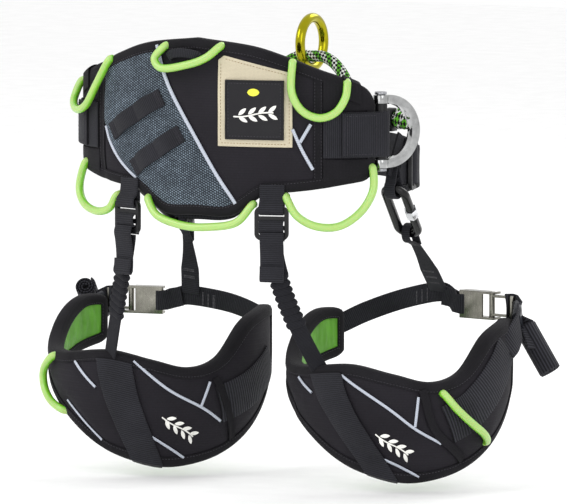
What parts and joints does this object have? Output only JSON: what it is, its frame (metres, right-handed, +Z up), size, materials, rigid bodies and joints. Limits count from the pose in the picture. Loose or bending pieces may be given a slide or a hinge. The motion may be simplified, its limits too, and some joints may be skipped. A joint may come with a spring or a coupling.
{
  "type": "tree climbing saddle",
  "caption": "Padded waist belt with a rope bridge and ring, hinged side rings, gear loops and two padded leg loops on links and elastic risers.",
  "frame": {"origin": "centre of the waist opening at the belt's mid height", "axes": "+X to the wearer's right, +Y to the wearer's front, +Z up"},
  "size_m": [0.5557, 0.287, 0.4513],
  "materials": {
    "webbing": "woven polyamide, matt",
    "elastic_webbing": "gathered elastic webbing",
    "spacer_lining": "spacer mesh",
    "foam": "closed-cell foam",
    "shell_cloth": "laminated stretch cloth",
    "binding_cloth": "folded binding tape",
    "mesh_cloth": "blue-grey woven mesh",
    "reflective_piping": "reflective tape",
    "label_canvas": "canvas",
    "label_rubber": "moulded rubber",
    "gear_loop_tube": "PVC tube",
    "ring_alloy": "polished",
    "pin_steel": "turned",
    "black_plastic": "moulded",
    "black_alloy": "black anodised",
    "nut_steel": "plated",
    "link_steel": "black coated steel",
    "bridge_rope": "braided sheath",
    "anodised_ring": "gold-green anodised",
    "buckle_steel": "nickel plated",
    "satin_lining": "green satin"
  },
  "bodies": {
    "waist_belt": {"belt_lining": "spacer_lining", "belt_foam": "foam", "belt_shell": "shell_cloth", "belt_binding": "binding_cloth", "mesh_panel": "mesh_cloth", "belt_piping": "reflective_piping", "label_backing": "label_canvas", "label_plate": "label_rubber", "tool_carriers": "webbing", "seam_tapes": "webbing", "hip_webbing": "webbing", "hip_patches": "webbing", "wing_caps": "shell_cloth", "grab_handle": "webbing", "upper_gear_loops": "gear_loop_tube", "lower_gear_loops": "gear_loop_tube", "pin_webbing_loops": "webbing", "side_ring_pins": "pin_steel", "side_ring_sleeves": "black_plastic", "front_webbing_left": "webbing", "front_webbing_right": "webbing", "waist_adjusters": "black_alloy", "bridge_eyes": "black_plastic", "link_hangers": "webbing", "waist_buckle_hook": "buckle_steel", "riser_tabs": "webbing", "riser_ladder_locks": "black_alloy", "riser_tails": "webbing"},
    "side_ring_left": {"side_ring_left": "ring_alloy"},
    "side_ring_right": {"side_ring_right": "ring_alloy"},
    "bridge": {"bridge_rope": "bridge_rope"},
    "bridge_ring": {"bridge_ring": "anodised_ring"},
    "waist_buckle_frame": {"waist_buckle_frame": "buckle_steel"},
    "leg_buckle_frame_left": {"leg_buckle_frame_left": "buckle_steel"},
    "leg_buckle_frame_right": {"leg_buckle_frame_right": "buckle_steel"},
    "leg_left": {"leg_link_left": "link_steel", "leg_link_nuts_left": "nut_steel", "leg_front_strap_left": "webbing", "leg_foam_left": "foam", "leg_shell_left": "shell_cloth", "leg_lining_left": "satin_lining", "leg_binding_left": "binding_cloth", "leg_wrap_left": "webbing", "leg_gear_loop_left": "gear_loop_tube", "leg_buckle_hook_left": "buckle_steel", "leg_outer_strap_left": "webbing", "elastic_riser_left": "elastic_webbing"},
    "leg_right": {"leg_link_right": "link_steel", "leg_link_nuts_right": "nut_steel", "leg_front_strap_right": "webbing", "leg_foam_right": "foam", "leg_shell_right": "shell_cloth", "leg_lining_right": "satin_lining", "leg_binding_right": "binding_cloth", "leg_wrap_right": "webbing", "leg_gear_loop_right": "gear_loop_tube", "leg_buckle_hook_right": "buckle_steel", "leg_outer_strap_right": "webbing", "elastic_riser_right": "elastic_webbing"}
  },
  "joints": [
    {"name": "side_ring_right_swing", "type": "hinge", "parent": "waist_belt", "child": "side_ring_right", "pos_m": [0.16472, -0.04074, -0.001], "axis": [0, 0, 1], "range_deg": [-100, 5]},
    {"name": "side_ring_left_swing", "type": "hinge", "parent": "waist_belt", "child": "side_ring_left", "pos_m": [-0.16472, -0.04074, -0.001], "axis": [0, 0, -1], "range_deg": [-100, 5]},
    {"name": "bridge_swing", "type": "hinge", "parent": "waist_belt", "child": "bridge", "pos_m": [0, 0.09106, -0.0005], "axis": [1, 0, 0], "range_deg": [-12, 45]},
    {"name": "bridge_ring_swing", "type": "hinge", "parent": "bridge", "child": "bridge_ring", "pos_m": [0, 0.122, 0.056], "axis": [1, 0, 0], "range_deg": [-100, 100]},
    {"name": "waist_buckle_open", "type": "hinge", "parent": "waist_belt", "child": "waist_buckle_frame", "pos_m": [0.027, 0.11793, -0.036], "axis": [0, 0, -1], "range_deg": [0, 35]},
    {"name": "leg_left_swing", "type": "hinge", "parent": "waist_belt", "child": "leg_left", "pos_m": [-0.15, 0.038, -0.069], "axis": [1, 0, 0], "range_deg": [-8, 20], "stiffness_Nm_per_rad": 1, "springref_deg": -5.73, "deforming": ["elastic_riser_left"]},
    {"name": "leg_buckle_left_open", "type": "hinge", "parent": "leg_left", "child": "leg_buckle_frame_left", "pos_m": [-0.231, 0.114, -0.2], "axis": [0, 0, 1], "range_deg": [0, 35]},
    {"name": "leg_right_swing", "type": "hinge", "parent": "waist_belt", "child": "leg_right", "pos_m": [0.166, -0.016, -0.06], "axis": [1, 0, 0], "range_deg": [-8, 20], "stiffness_Nm_per_rad": 1, "springref_deg": -5.73, "deforming": ["elastic_riser_right"]},
    {"name": "leg_buckle_right_open", "type": "hinge", "parent": "leg_right", "child": "leg_buckle_frame_right", "pos_m": [0.231, 0.114, -0.186], "axis": [0, 0, -1], "range_deg": [0, 35]}
  ]
}
